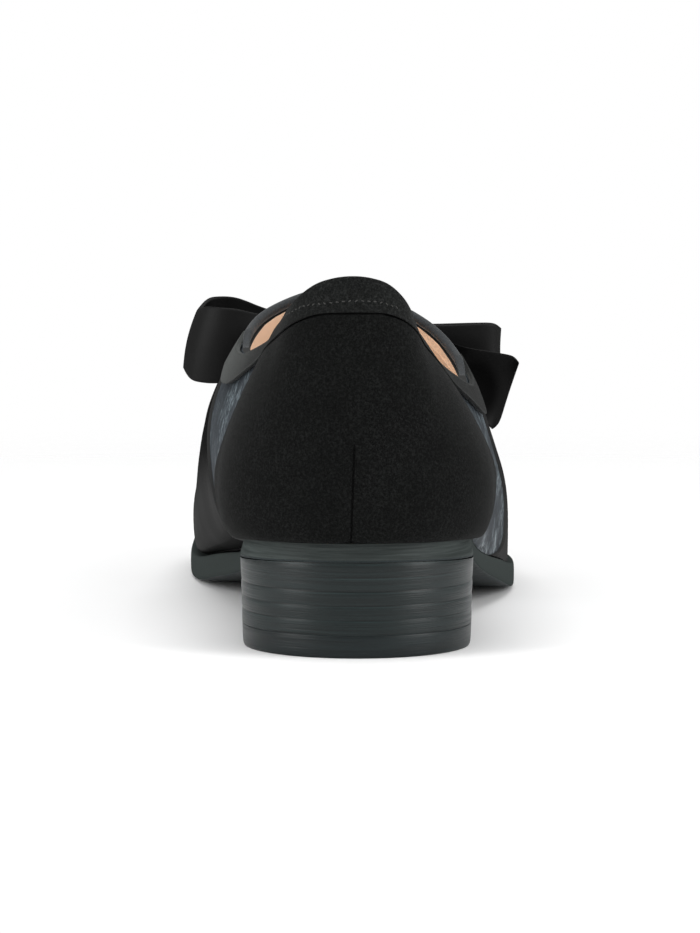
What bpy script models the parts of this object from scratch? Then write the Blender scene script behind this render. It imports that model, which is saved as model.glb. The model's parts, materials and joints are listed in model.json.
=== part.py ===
"""Bow loafer, right shoe: a last-shaped hollow upper on a thin sole and a low stacked heel, with a ribbon bow.

The shoe stands on the floor at z = 0 with its toe towards -Y and its medial (big toe) side towards +X.
Lengths below are millimetres. A station t is the distance from the back of the shoe towards the toe.
"""

import bisect
import math

import bmesh
import bpy
import numpy as np

MM = 0.001
MEDIAL, LATERAL = 1, -1
GAP = 0.3

# Overall sizes
SHOE_LENGTH = 262.0
FRAME_SHIFT_X = -1.25

# The sole: outline half widths from the heel's axis, height of the underside, and thickness
SOLE_BACK = 4.5
SOLE_TOE = 262.0
SOLE = (
    ("t", "medial", "lateral", "bottom", "thickness"),
    (0.0, 29.0, 29.0, 23.7, 4.5),
    (36.0, 29.0, 29.0, 21.9, 4.5),
    (60.0, 28.2, 29.2, 20.2, 4.5),
    (85.0, 27.4, 31.0, 14.8, 4.8),
    (110.0, 30.0, 35.4, 9.2, 5.6),
    (135.0, 36.2, 40.6, 4.6, 6.6),
    (161.0, 42.4, 43.6, 0.6, 7.0),
    (171.0, 44.3, 43.7, 0.0, 7.0),
    (190.0, 46.6, 41.4, 0.0, 7.0),
    (198.0, 46.9, 39.8, 0.6, 7.0),
    (212.0, 46.6, 37.6, 2.4, 6.9),
    (236.0, 45.6, 36.6, 6.0, 6.6),
    (262.0, 44.6, 36.0, 9.6, 6.2),
)
TREAD_SKEW = (
    ("t", "forward"),
    (60.0, 0.0),
    (110.0, 0.1),
    (150.0, 0.19),
    (190.0, 0.19),
    (225.0, 0.06),
    (262.0, 0.0),
)
SOLE_EDGE_BEVEL = 1.1
SOLE_TOP_BEVEL = 0.8

# The last: widest half widths of the wall, their height, the ridge over the foot, and the curve between
UPPER_BACK = 1.3
UPPER_TOE = 259.4
LAST = (
    ("t", "medial", "lateral", "widest_z", "ridge_z", "ridge_x", "rise", "flat", "drop"),
    (0.0, 33.2, 32.8, 43.0, 150.0, 6.0, 0.50, 0.55, 0.0),
    (6.0, 33.2, 32.8, 42.4, 120.0, 6.0, 0.42, 0.48, 0.0),
    (14.0, 33.2, 32.8, 41.6, 98.5, 6.0, 0.35, 0.37, 0.0),
    (36.0, 33.2, 32.8, 40.0, 90.0, 6.0, 0.30, 0.33, 0.0),
    (60.0, 35.2, 34.2, 40.0, 89.5, 5.6, 0.32, 0.40, 0.0),
    (85.0, 37.6, 34.6, 40.0, 90.5, 5.2, 0.38, 0.47, 0.0),
    (109.0, 39.8, 34.9, 39.0, 88.0, 5.0, 0.46, 0.52, 1.0),
    (118.0, 41.2, 35.7, 37.5, 83.6, 5.0, 0.50, 0.51, 2.2),
    (135.0, 42.4, 38.3, 31.0, 73.5, 5.0, 0.50, 0.52, 1.8),
    (150.0, 43.2, 40.6, 25.5, 64.5, 5.0, 0.50, 0.52, 1.6),
    (168.0, 44.3, 41.2, 21.0, 56.0, 5.0, 0.52, 0.55, 1.2),
    (184.0, 45.0, 40.2, 19.0, 49.2, 5.0, 0.56, 0.58, 0.8),
    (198.0, 45.3, 38.0, 18.5, 43.6, 5.0, 0.60, 0.60, 0.5),
    (212.0, 44.8, 36.0, 19.0, 39.4, 4.6, 0.62, 0.62, 0.5),
    (236.0, 43.8, 35.2, 21.0, 39.4, 4.6, 0.62, 0.62, 3.4),
    (262.0, 43.0, 34.8, 22.5, 39.4, 4.6, 0.62, 0.62, 6.0),
)
FEATHER_MARGIN = (("t", "inside"), (0.0, 0.2), (60.0, 0.2), (110.0, 1.2), (150.0, 2.4), (262.0, 3.2))
WALL = 2.0
VAMP_STEP = 0.8

# The top line, as heights on each side, and the throat where it crosses the ridge
THROAT = 118.0
TOP_LINE = (
    ("t", "medial", "lateral"),
    (1.3, 92.6, 92.6),
    (2.6, 91.4, 91.4),
    (5.0, 88.2, 88.0),
    (9.0, 84.0, 83.0),
    (16.0, 80.4, 78.0),
    (24.0, 78.2, 74.6),
    (36.0, 76.0, 70.6),
    (50.0, 73.6, 66.4),
    (65.0, 71.2, 63.2),
    (80.0, 69.2, 61.4),
    (94.0, 69.4, 62.0),
    (105.0, 72.6, 66.0),
    (113.0, 77.4, 73.6),
    (118.0, 83.6, 83.6),
)

# Centres that the heel's and the toe's sections fan round, and how the two ends are rounded
HEEL_CENTRE = 36.0
TOE_CENTRE = 212.0
TOE_ROUND_IN, TOE_ROUND_OUT = 1.9, 1.8

# Share of a section's run that lies below its widest place
BELOW = 0.2

# The panels that lie over the wall
PANEL_GAP = 0.48
PANEL_THICK = 0.9
COUNTER_FOOT = 0.02
COUNTER_EDGE = (("v", "t"), (0.0, 60.0), (0.2, 55.0), (0.34, 46.0), (0.5, 38.0))
BAND_THICK = 1.2
BAND_HEIGHT = (
    ("t", "height"),
    (1.3, 8.6),
    (5.0, 6.2),
    (9.0, 4.8),
    (16.0, 4.0),
    (30.0, 4.2),
    (50.0, 5.4),
    (70.0, 7.0),
    (90.0, 8.2),
    (108.0, 8.6),
)
VAMP_EDGE = 110.0
VAMP_LINE = (
    ("v", "medial", "lateral"),
    (0.0, 64.0, 116.0),
    (0.05, 67.4, 130.0),
    (0.1, 71.0, 143.0),
    (0.17, 80.0, 148.0),
    (0.25, 95.0, 140.0),
    (0.32, 106.0, 127.0),
    (0.42, 110.0, 113.0),
    (0.46, 110.0, 110.0),
    (1.0, 110.0, 110.0),
)
BAND_END = VAMP_EDGE - 2.4
BINDING_RADIUS = 1.0
BINDING_START = 97.0

# The heel, from the top piece up
HEEL_BREAST = 60.0
BREAST_HOLLOW = 3.0
HEEL_TAPER = 0.6
TOP_PIECE = 5.5
TOP_PIECE_BEVEL = 0.4
LIFT = 3.5
LIFT_GROOVE = 0.2

# The insole
INSOLE_THICK = 2.0

# The bow: the knot's place and the ribbon
KNOT_X, KNOT_T, KNOT_Z = 3.6, 150.0, 71.7
KNOT_WIDE, KNOT_LONG, KNOT_THICK = 13.2, 17.0, 9.4
KNOT_SLOPE = math.radians(29.0)
RIBBON_THICK = 1.2
TAIL_SCOOP = 3.2

MEDIAL_LOOP = (
    ("along", "x", "t", "z", "half", "lean"),
    (0.0, 10.8, 147.5, 71.6, 4.2, 0.00),
    (1.0, 24.0, 145.0, 69.4, 6.2, -0.05),
    (2.0, 36.0, 144.0, 67.4, 10.4, -0.14),
    (2.7, 42.8, 147.0, 68.0, 10.4, -0.22),
    (3.0, 44.8, 150.5, 68.8, 8.0, -0.24),
    (3.3, 43.0, 154.0, 69.4, 10.9, -0.24),
    (4.0, 36.0, 156.5, 69.8, 10.6, -0.16),
    (5.0, 24.0, 155.0, 69.8, 6.8, -0.05),
    (6.0, 10.8, 152.0, 70.2, 4.2, 0.00),
)
LATERAL_LOOP = (
    ("along", "x", "t", "z", "half", "lean"),
    (0.0, -3.6, 150.0, 70.8, 4.0, 0.00),
    (1.0, -18.0, 150.4, 66.6, 6.2, 0.02),
    (2.0, -30.0, 151.0, 63.4, 9.4, 0.04),
    (2.7, -38.4, 153.0, 62.8, 10.2, 0.06),
    (3.0, -39.7, 155.6, 62.6, 9.0, 0.06),
    (3.3, -38.4, 158.2, 62.6, 10.4, 0.06),
    (4.0, -30.0, 160.0, 63.0, 9.8, 0.04),
    (5.0, -18.0, 158.6, 65.6, 7.0, 0.02),
    (6.0, -3.6, 154.4, 69.0, 4.0, 0.00),
)
LATERAL_TAIL = (
    ("along", "x", "t", "z", "half", "lean"),
    (0.0, -3.6, 145.6, 72.2, 3.2, 0.00),
    (1.0, -16.0, 142.6, 68.6, 3.6, 0.00),
    (2.0, -27.0, 142.2, 63.0, 4.8, -0.10),
    (3.0, -35.0, 143.4, 57.9, 8.2, -0.22),
    (3.7, -39.8, 143.8, 54.8, 10.4, -0.30),
    (4.0, -41.5, 143.8, 54.5, 8.8, -0.32),
)
MEDIAL_TAIL = (
    ("along", "x", "t", "z", "half", "lean"),
    (0.0, 10.8, 156.4, 68.0, 3.2, 0.00),
    (1.0, 20.0, 162.0, 62.0, 4.6, 0.00),
    (2.0, 28.0, 167.0, 56.2, 5.4, -0.02),
    (3.0, 35.0, 173.0, 50.4, 6.4, -0.04),
)


class Table:
    """Rows under named columns, read between the rows along a smooth curve with no overshoot."""

    def __init__(self, rows):
        self.places = [row[0] for row in rows[1:]]
        self.columns = {}
        for k, name in enumerate(rows[0][1:], start=1):
            values = [row[k] for row in rows[1:]]
            self.columns[name] = (values, self.slopes(values))

    def slopes(self, values):
        """Slope of the curve at each row."""
        steps = [b - a for a, b in zip(self.places, self.places[1:])]
        lines = [(b - a) / step for a, b, step in zip(values, values[1:], steps)]
        found = [lines[0]]
        for k in range(1, len(lines)):
            before, after = lines[k - 1], lines[k]
            a, b = 2 * steps[k] + steps[k - 1], steps[k] + 2 * steps[k - 1]
            found.append((a + b) / (a / before + b / after) if before * after > 0 else 0.0)
        return found + [lines[-1]]

    def at(self, name, where):
        values, slopes = self.columns[name]
        where = min(max(where, self.places[0]), self.places[-1])
        i = min(max(bisect.bisect_right(self.places, where) - 1, 0), len(values) - 2)
        h = self.places[i + 1] - self.places[i]
        u = (where - self.places[i]) / h
        level = (1 + 2 * u) * (1 - u) ** 2 * values[i] + u * u * (3 - 2 * u) * values[i + 1]
        return level + h * u * (1 - u) * ((1 - u) * slopes[i] - u * slopes[i + 1])


SOLE_TABLE = Table(SOLE)
SKEW_TABLE = Table(TREAD_SKEW)
LAST_TABLE = Table(LAST)
MARGIN_TABLE = Table(FEATHER_MARGIN)
TOP_TABLE = Table(TOP_LINE)
COUNTER_TABLE = Table(COUNTER_EDGE)
BAND_TABLE = Table(BAND_HEIGHT)
VAMP_TABLE = Table(VAMP_LINE)


def side_name(side):
    return "medial" if side == MEDIAL else "lateral"


def place(x, t, z):
    """A point of the shoe in the part's frame, in metres."""
    return ((x + FRAME_SHIFT_X) * MM, (SHOE_LENGTH / 2 - t) * MM, z * MM)


class Station:
    """Where a section stands: the centre that it fans round and its direction in plan."""

    def __init__(self, t):
        self.t = t
        self.turn = 0.0
        self.centre = min(max(t, HEEL_CENTRE), TOE_CENTRE)
        self.across, self.along = 1.0, 0.0

    @classmethod
    def heel(cls, angle):
        """A section of the heel's fan: angle 0 is the back, 90 degrees the side."""
        station = cls(HEEL_CENTRE)
        station.across, station.along = math.sin(angle), -math.cos(angle)
        station.t = HEEL_CENTRE + station.along * (HEEL_CENTRE - UPPER_BACK)
        return station

    @classmethod
    def toe(cls, angle):
        """A section of the toe's fan: angle 0 is the side, 90 degrees the tip."""
        station = cls(TOE_CENTRE)
        station.along = math.sin(angle)
        station.across = max(0.0, 1 - station.along**TOE_ROUND_IN) ** (1 / TOE_ROUND_OUT)
        station.t = TOE_CENTRE + station.along * (UPPER_TOE - TOE_CENTRE)
        return station

    def axis_x(self):
        """The middle line that the toe's sections fan round lies off the heel's axis."""
        if self.along <= 0:
            return 0.0
        return LAST_TABLE.at("ridge_x", TOE_CENTRE)

    def reach(self, back, toe):
        """Run from the fan's centre to an end at station back or toe, 0 between the fans."""
        if self.along < 0:
            return HEEL_CENTRE - back
        return toe - TOE_CENTRE if self.along > 0 else 0.0


def sole_point(station, side, inset):
    """Plan point on the sole's outline, drawn in by inset."""
    width = SOLE_TABLE.at(side_name(side), station.centre) - inset
    axis = station.axis_x()
    x = axis + side * (width - side * axis) * station.across
    t = station.centre + station.along * (station.reach(SOLE_BACK, SOLE_TOE) - inset)
    return x, t


def sole_bottom(t, x=0.0):
    """Height of the underside. Its rise runs square to the ball of the foot, further forward on the medial side."""
    return SOLE_TABLE.at("bottom", t - x * SKEW_TABLE.at("forward", t))


def sole_top(t, x=0.0):
    return sole_bottom(t, x) + SOLE_TABLE.at("thickness", t)


def wall_run(station, side, inset):
    """Distances that shape one section: [feather, widest, ridge] across and along, and their heights."""
    t = station.t
    name = side_name(side)
    axis = station.axis_x()
    margin = MARGIN_TABLE.at("inside", t) + inset
    ridge_x = LAST_TABLE.at("ridge_x", station.centre)
    across = (
        SOLE_TABLE.at(name, station.centre) - margin - side * axis,
        LAST_TABLE.at(name, station.centre) - inset - side * axis,
        side * (ridge_x - axis),
    )
    along = (
        station.reach(SOLE_BACK, SOLE_TOE) - margin,
        station.reach(UPPER_BACK, UPPER_TOE) - inset,
        0.0,
    )
    heights = (
        sole_top(t, axis + side * across[0] * station.across) + GAP,
        LAST_TABLE.at("widest_z", t),
        LAST_TABLE.at("ridge_z", t if station.along < 0 else station.centre) - inset,
    )
    return across, along, heights


def bent(ends, v, flat):
    """Run from feather over the widest place to the ridge: v = 0, BELOW and 1."""
    feather, widest, ridge = ends
    if v < BELOW:
        u = v / BELOW
        return feather * (1 - u) ** 2 + widest * (1 - (1 - u) ** 2)
    u = (v - BELOW) / (1 - BELOW)
    shoulder = ridge + (widest - ridge) * flat
    return widest * ((1 - u) ** 3 + 3 * u * (1 - u) ** 2) + 3 * shoulder * u * u * (1 - u) + ridge * u**3


def lifted(heights, v, rise, drop):
    """Height at v, on the same run as bent."""
    feather, widest, ridge = heights
    if v < BELOW:
        u = v / BELOW
        return feather * (1 - u * u) + widest * u * u
    u = (v - BELOW) / (1 - BELOW)
    low, high = widest + (ridge - widest) * rise, ridge - drop
    return widest * (1 - u) ** 3 + 3 * low * u * (1 - u) ** 2 + 3 * high * u * u * (1 - u) + ridge * u**3


def wall_height(station, side, v, inset):
    heights = wall_run(station, side, inset)[2]
    return lifted(heights, v, LAST_TABLE.at("rise", station.t), LAST_TABLE.at("drop", station.t))


def wall_point(station, side, v, inset):
    """Point of the wall's surface at v, drawn in by inset (out where it is negative)."""
    across, along, _ = wall_run(station, side, inset)
    flat = LAST_TABLE.at("flat", station.t)
    lean = 0.0
    if station.along < 0:
        lean = LAST_TABLE.at("ridge_x", HEEL_CENTRE) * (1 - bent((1.0, 1.0, 0.0), v, flat))
    x = station.axis_x() + lean + side * (bent(across, v, flat) - side * lean) * station.across
    t = station.centre + station.along * bent(along, v, flat)
    return place(x, t, wall_height(station, side, v, inset))


def v_at_height(station, side, z, inset):
    """Where a section reaches a height above its widest place."""
    low, high = BELOW, 1.0
    for _ in range(40):
        middle = (low + high) / 2
        if wall_height(station, side, middle, inset) < z:
            low = middle
        else:
            high = middle
    return (low + high) / 2


def top_height(station, side):
    return TOP_TABLE.at(side_name(side), station.t)


def top_v(station, side, inset):
    """Where a section ends: on the top line, or on the ridge past the throat."""
    if station.centre >= THROAT:
        return 1.0
    return v_at_height(station, side, top_height(station, side), inset)


def fan(maker, first, last, count):
    """Stations of a fan, from angle first to last in degrees."""
    return [maker(math.radians(first + (last - first) * i / count)) for i in range(count + 1)]


def linked(points, faces, name, colour, roughness, smooth=40.0):
    """A named object from points and faces, with its own plain material."""
    mesh = bpy.data.meshes.new(name)
    build = bmesh.new()
    corners = [build.verts.new(p) for p in points]
    for face in faces:
        build.faces.new([corners[i] for i in face])
    bmesh.ops.remove_doubles(build, verts=build.verts, dist=0.00001)
    bmesh.ops.dissolve_degenerate(build, edges=build.edges, dist=0.000005)
    bmesh.ops.recalc_face_normals(build, faces=build.faces)
    build.to_mesh(mesh)
    build.free()
    mesh.shade_smooth()
    mesh.set_sharp_from_angle(angle=math.radians(smooth))
    material = bpy.data.materials.new(name)
    material.use_nodes = True
    surface = material.node_tree.nodes["Principled BSDF"]
    surface.inputs["Base Color"].default_value = (*colour, 1.0)
    surface.inputs["Roughness"].default_value = roughness
    mesh.materials.append(material)
    item = bpy.data.objects.new(name, mesh)
    bpy.context.scene.collection.objects.link(item)
    return item


class Skin:
    """Points and quads gathered row by row."""

    def __init__(self):
        self.points = []
        self.faces = []

    def row(self, points):
        start = len(self.points)
        self.points.extend(points)
        return list(range(start, start + len(points)))

    def join(self, first, second, closed=False):
        """Quads between two rows of the same length."""
        count = len(first)
        for i in range(count if closed else count - 1):
            k = (i + 1) % count
            self.quad(first[i], first[k], second[k], second[i])

    def quad(self, a, b, c, d):
        corners = [self.points[i] for i in (a, b, c, d)]
        kept = []
        for i, corner in zip((a, b, c, d), corners):
            near = [j for j in kept if math.dist(self.points[j], corner) < 0.00001]
            if not near:
                kept.append(i)
        if len(kept) > 2:
            self.faces.append(kept)

    def cap(self, ring):
        self.faces.append(list(ring))


def shell(grids):
    """A closed thin panel from an outer and an inner grid of points."""
    skin = Skin()
    sheets = [[skin.row(row) for row in grid] for grid in grids]
    for sheet in sheets:
        for first, second in zip(sheet, sheet[1:]):
            skin.join(first, second)
    outer, inner = sheets
    skin.join(outer[0], inner[0])
    skin.join(outer[-1], inner[-1])
    skin.join([row[0] for row in outer], [row[0] for row in inner])
    skin.join([row[-1] for row in outer], [row[-1] for row in inner])
    return skin


def swept(station, side, v):
    """The station that a section of the wall has reached at v: sections lean with the vamp's back edge."""
    if station.along:
        return station
    edge = VAMP_TABLE.at(side_name(side), v)
    if station.t < VAMP_EDGE:
        share = (station.t - HEEL_CENTRE) / (VAMP_EDGE - HEEL_CENTRE)
        return Station(HEEL_CENTRE + share * (edge - HEEL_CENTRE))
    share = (TOE_CENTRE - station.t) / (TOE_CENTRE - VAMP_EDGE)
    return Station(TOE_CENTRE - share * (TOE_CENTRE - edge))


def upper_stations():
    """Sections of one side from the back to the toe, closer together at the throat."""
    quarter = [44, 52, 60, 68, 76, 84, 91, 97, 102, 106, VAMP_EDGE - 0.4]
    throat = [VAMP_EDGE, 112.4, 114.4, 116.0, 117.2, THROAT]
    vamp = [121, 126, 132, 139, 147, 156, 166, 177, 188, 200]
    stations = fan(Station.heel, 0, 90, 11)
    stations += [Station(float(t)) for t in quarter + throat + vamp]
    return stations + fan(Station.toe, 0, 90, 9)


def section_steps(top, below=4, above=9):
    """Values of v from the feather to the top of a section."""
    steps = [BELOW * i / below for i in range(below)]
    return steps + [BELOW + (top - BELOW) * i / above for i in range(above + 1)]


def upper():
    """The hollow wall: vamp and quarters in one, open at the top line and underneath."""
    skin = Skin()
    rows = {}
    for side in (MEDIAL, LATERAL):
        for face in ("outer", "inner"):
            for k, station in enumerate(upper_stations()):
                step = VAMP_STEP if station.t >= VAMP_EDGE else 0.0
                inset = -step if face == "outer" else WALL
                steps = section_steps(top_v(station, side, inset))
                points = [wall_point(swept(station, side, v), side, v, inset) for v in steps]
                rows[side, face, k] = skin.row(points)
    count = len(upper_stations())
    stations = upper_stations()
    for side in (MEDIAL, LATERAL):
        for k in range(count - 1):
            outer = rows[side, "outer", k], rows[side, "outer", k + 1]
            inner = rows[side, "inner", k], rows[side, "inner", k + 1]
            skin.join(*outer)
            skin.join(*inner)
            skin.quad(outer[0][0], outer[1][0], inner[1][0], inner[0][0])
            if stations[k].centre < THROAT:
                skin.quad(outer[0][-1], outer[1][-1], inner[1][-1], inner[0][-1])
    return linked(skin.points, skin.faces, "upper", (0.02, 0.021, 0.026), 0.6)


def round_the_back(stations_of_side, point):
    """A row of points from the medial edge round the back to the lateral edge."""
    medial = [point(station, MEDIAL) for station in reversed(stations_of_side(MEDIAL))]
    lateral = [point(station, LATERAL) for station in stations_of_side(LATERAL)]
    return medial + lateral[1:]


def station_on_path(share, edge):
    """A station at a share of the way from the back to a station edge on the side."""
    fan_run = HEEL_CENTRE * math.pi / 2
    run = share * (fan_run + edge - HEEL_CENTRE)
    if run < fan_run:
        return Station.heel(run / fan_run * math.pi / 2)
    return Station(HEEL_CENTRE + run - fan_run)


def heel_counter(columns=12, below=4, above=6):
    """The back panel, from the feather up to the collar band."""
    grids = []
    for inset in (-PANEL_GAP - PANEL_THICK, -PANEL_GAP):
        grid = []
        for level in range(below + above + 1):

            def stations(side, share=level / (below + above)):
                edge = COUNTER_TABLE.at("t", 0.5 * share)
                return [station_on_path(i / columns, edge) for i in range(columns + 1)]

            def point(station, side, level=level, inset=inset):
                seam = top_height(station, side) - BAND_TABLE.at("height", station.t) - 2 * GAP
                v = section_steps(v_at_height(station, side, seam, inset), below, above)[level]
                return wall_point(station, side, max(v, COUNTER_FOOT), inset)

            grid.append(round_the_back(stations, point))
        grids.append(grid)
    skin = shell(grids)
    return linked(skin.points, skin.faces, "heel_counter", (0.012, 0.012, 0.012), 0.9)


def collar_band(columns=24, levels=2):
    """The strip along the top line, from the vamp's edge round the back to its other edge."""
    grids = []
    for inset in (-PANEL_GAP - BAND_THICK, -PANEL_GAP):
        grid = []
        for level in range(levels + 1):

            def stations(side):
                return [station_on_path(i / columns, BAND_END) for i in range(columns + 1)]

            def point(station, side, share=level / levels, inset=inset):
                top = top_height(station, side)
                seam = top - BAND_TABLE.at("height", station.t)
                v = v_at_height(station, side, seam + (top - seam) * share, inset)
                return wall_point(station, side, v, inset)

            grid.append(round_the_back(stations, point))
        grids.append(grid)
    skin = shell(grids)
    return linked(skin.points, skin.faces, "collar_band", (0.016, 0.016, 0.017), 0.85)


def tube(route, radius, sides, name, colour, roughness):
    """A closed round cord along a route of points, with rounded-off ends."""
    route = np.array(route)
    skin = Skin()
    rings = []
    for i, centre in enumerate(route):
        ahead = route[min(i + 1, len(route) - 1)] - route[max(i - 1, 0)]
        ahead /= np.linalg.norm(ahead)
        up = np.array((0.0, 0.0, 1.0)) - ahead * ahead[2]
        up /= np.linalg.norm(up)
        out = np.cross(ahead, up)
        turns = [2 * math.pi * k / sides for k in range(sides)]
        ring = [tuple(centre + radius * (math.cos(a) * out + math.sin(a) * up)) for a in turns]
        rings.append(skin.row(ring))
    for first, second in zip(rings, rings[1:]):
        skin.join(first, second, closed=True)
    skin.cap(rings[0])
    skin.cap(rings[-1])
    return linked(skin.points, skin.faces, name, colour, roughness, smooth=60.0)


def throat_binding(count=14):
    """The rolled edge that lies on the rim of the throat, from quarter to quarter."""
    run = THROAT - BINDING_START
    stations = [Station(THROAT - run * (1 - i / count) ** 2) for i in range(count + 1)]
    turns = [(station, MEDIAL) for station in stations] + [(station, LATERAL) for station in stations[-2::-1]]
    rims = []
    for inset in (-VAMP_STEP, WALL):
        points = [wall_point(station, side, top_v(station, side, inset), inset) for station, side in turns]
        rims.append(np.array(points))
    middle = (rims[0] + rims[1]) / 2
    away = np.cross(np.gradient(middle, axis=0), rims[0] - rims[1])
    away /= np.linalg.norm(away, axis=1)[:, None]
    lift = (BINDING_RADIUS + 2 * GAP) * MM
    return tube(middle + lift * away, BINDING_RADIUS * MM, 7, "throat_binding", (0.03, 0.033, 0.04), 0.5)


def sole_stations():
    """Sections of one side of the sole, from the back to the toe."""
    middle = [46, 56, 65, 74, 83, 92, 101, 110, 119, 128, 137, 146, 154, 161, 169, 177, 184, 192, 200]
    return fan(Station.heel, 0, 90, 9) + [Station(float(t)) for t in middle] + fan(Station.toe, 0, 90, 10)


def sheet_solid(name, colour, roughness, profile, strips=4):
    """A sheet with the sole's outline. The profile gives (inset, height) pairs from bottom to top."""
    skin = Skin()
    loops = []
    for inset, height in profile:
        plan = {side: [sole_point(s, side, inset(s)) for s in sole_stations()] for side in (MEDIAL, LATERAL)}
        columns = []
        for k in range(strips + 1):
            share = k / strips
            points = []
            for (x0, t0), (x1, _) in zip(plan[MEDIAL], plan[LATERAL]):
                x = x0 + (x1 - x0) * share
                points.append(place(x, t0, height(t0, x)))
            columns.append(skin.row(points))
        loops.append(columns)
    for low, high in zip(loops, loops[1:]):
        skin.join(low[0], high[0])
        skin.join(low[-1], high[-1])
    for columns in (loops[0], loops[-1]):
        for first, second in zip(columns, columns[1:]):
            skin.join(first, second)
    return linked(skin.points, skin.faces, name, colour, roughness)


def outsole():
    """One sheet from toe to heel seat, with its lower and upper edges eased."""

    def edge(share_in):
        return lambda station: share_in

    profile = (
        (edge(SOLE_EDGE_BEVEL), sole_bottom),
        (edge(0.3), lambda t, x: sole_bottom(t, x) + 0.4),
        (edge(0.0), lambda t, x: sole_bottom(t, x) + SOLE_EDGE_BEVEL),
        (edge(0.0), lambda t, x: sole_top(t, x) - SOLE_TOP_BEVEL),
        (edge(0.25), lambda t, x: sole_top(t, x) - 0.25),
        (edge(SOLE_TOP_BEVEL), sole_top),
    )
    return sheet_solid("outsole", (0.035, 0.04, 0.04), 0.5, profile)


def insole():
    """The sock inside, resting on the outsole and clear of the wall."""

    def inside(station):
        return MARGIN_TABLE.at("inside", station.t) + WALL + GAP + 0.2

    profile = (
        (inside, lambda t, x: sole_top(t, x) + GAP),
        (inside, lambda t, x: sole_top(t, x) + GAP + INSOLE_THICK),
    )
    return sheet_solid("insole", (0.75, 0.5, 0.36), 0.7, profile)


def heel_outline(inset):
    """Plan of the heel: the sole's outline back from the breast, and the breast's hollow face."""
    stations = fan(Station.heel, 0, 90, 11) + [Station(t) for t in (44.0, 52.0, HEEL_BREAST)]
    medial = [sole_point(s, MEDIAL, inset) for s in reversed(stations)]
    lateral = [sole_point(s, LATERAL, inset) for s in stations]
    corner_l, corner_m = lateral[-1], medial[0]
    breast = []
    for i in range(1, 8):
        share = i / 8
        x = corner_l[0] + (corner_m[0] - corner_l[0]) * share
        breast.append((x, HEEL_BREAST - BREAST_HOLLOW * math.sin(math.pi * share)))
    return medial + lateral[1:] + breast


def stacked(name, colour, roughness, levels):
    """A heel piece from rings at (height, inset) levels. A height may be a function of the station."""
    skin = Skin()
    rings = []
    for height, inset in levels:
        points = [place(x, t, height(t) if callable(height) else height) for x, t in heel_outline(inset)]
        rings.append(skin.row(points))
    for first, second in zip(rings, rings[1:]):
        skin.join(first, second, closed=True)
    skin.cap(rings[0])
    skin.cap(rings[-1])
    return linked(skin.points, skin.faces, name, colour, roughness, smooth=25.0)


def taper(z):
    """The heel draws in towards the floor."""
    return HEEL_TAPER * (1 - z / sole_bottom(SOLE_BACK))


def heel_top_piece():
    """The wearing layer under the heel."""
    levels = (
        (0.0, taper(0) + TOP_PIECE_BEVEL),
        (TOP_PIECE_BEVEL, taper(0)),
        (TOP_PIECE, taper(TOP_PIECE)),
    )
    return stacked("heel_top_piece", (0.03, 0.034, 0.035), 0.6, levels)


def heel_seat(t):
    """Flat top of the block, just under the sole."""
    slope = (sole_bottom(HEEL_BREAST) - sole_bottom(SOLE_BACK)) / (HEEL_BREAST - SOLE_BACK)
    return sole_bottom(SOLE_BACK) + slope * (t - SOLE_BACK) - GAP


def heel_block():
    """The stacked heel, with a fine groove at each lift."""
    base = TOP_PIECE + GAP
    levels = [(base, taper(base))]
    z = base + LIFT
    while z < sole_bottom(HEEL_BREAST) - LIFT / 2:
        for dz, depth in ((-0.3, 0.0), (0.0, LIFT_GROOVE), (0.3, 0.0)):
            levels.append((z + dz, taper(z) + depth))
        z += LIFT
    levels.append((heel_seat, 0.0))
    return stacked("heel_block", (0.045, 0.05, 0.05), 0.55, levels)


def ribbon(name, rows, colour, steps=20, cross=4, crown=0.8):
    """A ribbon along the rows of its table: the middle of its width, its half width and how that leans."""
    table = Table(rows)
    last = rows[-1][0]
    middles, ups = [], []
    for i in range(steps + 1):
        where = last * i / steps
        x, t, z, half, lean = (table.at(column, where) for column in ("x", "t", "z", "half", "lean"))
        middles.append(np.array((x, t, z)))
        up = np.array((lean, 0.0, 1.0))
        ups.append(up / np.linalg.norm(up) * half)
    skin = Skin()
    rings = []
    for i, (middle, up) in enumerate(zip(middles, ups)):
        ahead = middles[min(i + 1, steps)] - middles[max(i - 1, 0)]
        out = np.cross(ahead, up)
        out /= np.linalg.norm(out)
        ring = []
        for face in (1, -1):
            for k in range(cross + 1):
                share = (2 * k / cross - 1) * face
                bulge = crown * (1 - share * share)
                point = middle + up * share + out * (bulge + face * RIBBON_THICK / 2)
                ring.append(place(*point))
        rings.append(skin.row(ring))
    for first, second in zip(rings, rings[1:]):
        skin.join(first, second, closed=True)
    skin.cap(rings[0])
    skin.cap(rings[-1])
    return linked(skin.points, skin.faces, name, colour, 0.45, smooth=50.0)


def bow_knot(colour, around=18, rows=8):
    """The band that gathers the ribbon: a soft pad that lies along the slope of the vamp."""
    skin = Skin()
    rings = []
    down, up = math.sin(KNOT_SLOPE), math.cos(KNOT_SLOPE)
    for i in range(rows + 1):
        share = -1 + 2 * i / rows
        ring = []
        for k in range(around):
            a = 2 * math.pi * k / around
            c, s = math.cos(a), math.sin(a)
            size = (1 - 0.14 * share * share) / (abs(c) ** 3.2 + abs(s) ** 3.2) ** (1 / 3.2)
            ahead, above = KNOT_LONG / 2 * size * c, KNOT_THICK / 2 * size * s
            t = KNOT_T + ahead * up + above * down
            ring.append(place(KNOT_X + KNOT_WIDE / 2 * share, t, KNOT_Z - ahead * down + above * up))
        rings.append(skin.row(ring))
    for first, second in zip(rings, rings[1:]):
        skin.join(first, second, closed=True)
    skin.cap(rings[0])
    skin.cap(rings[-1])
    return linked(skin.points, skin.faces, "bow_knot", colour, 0.45, smooth=60.0)


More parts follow.
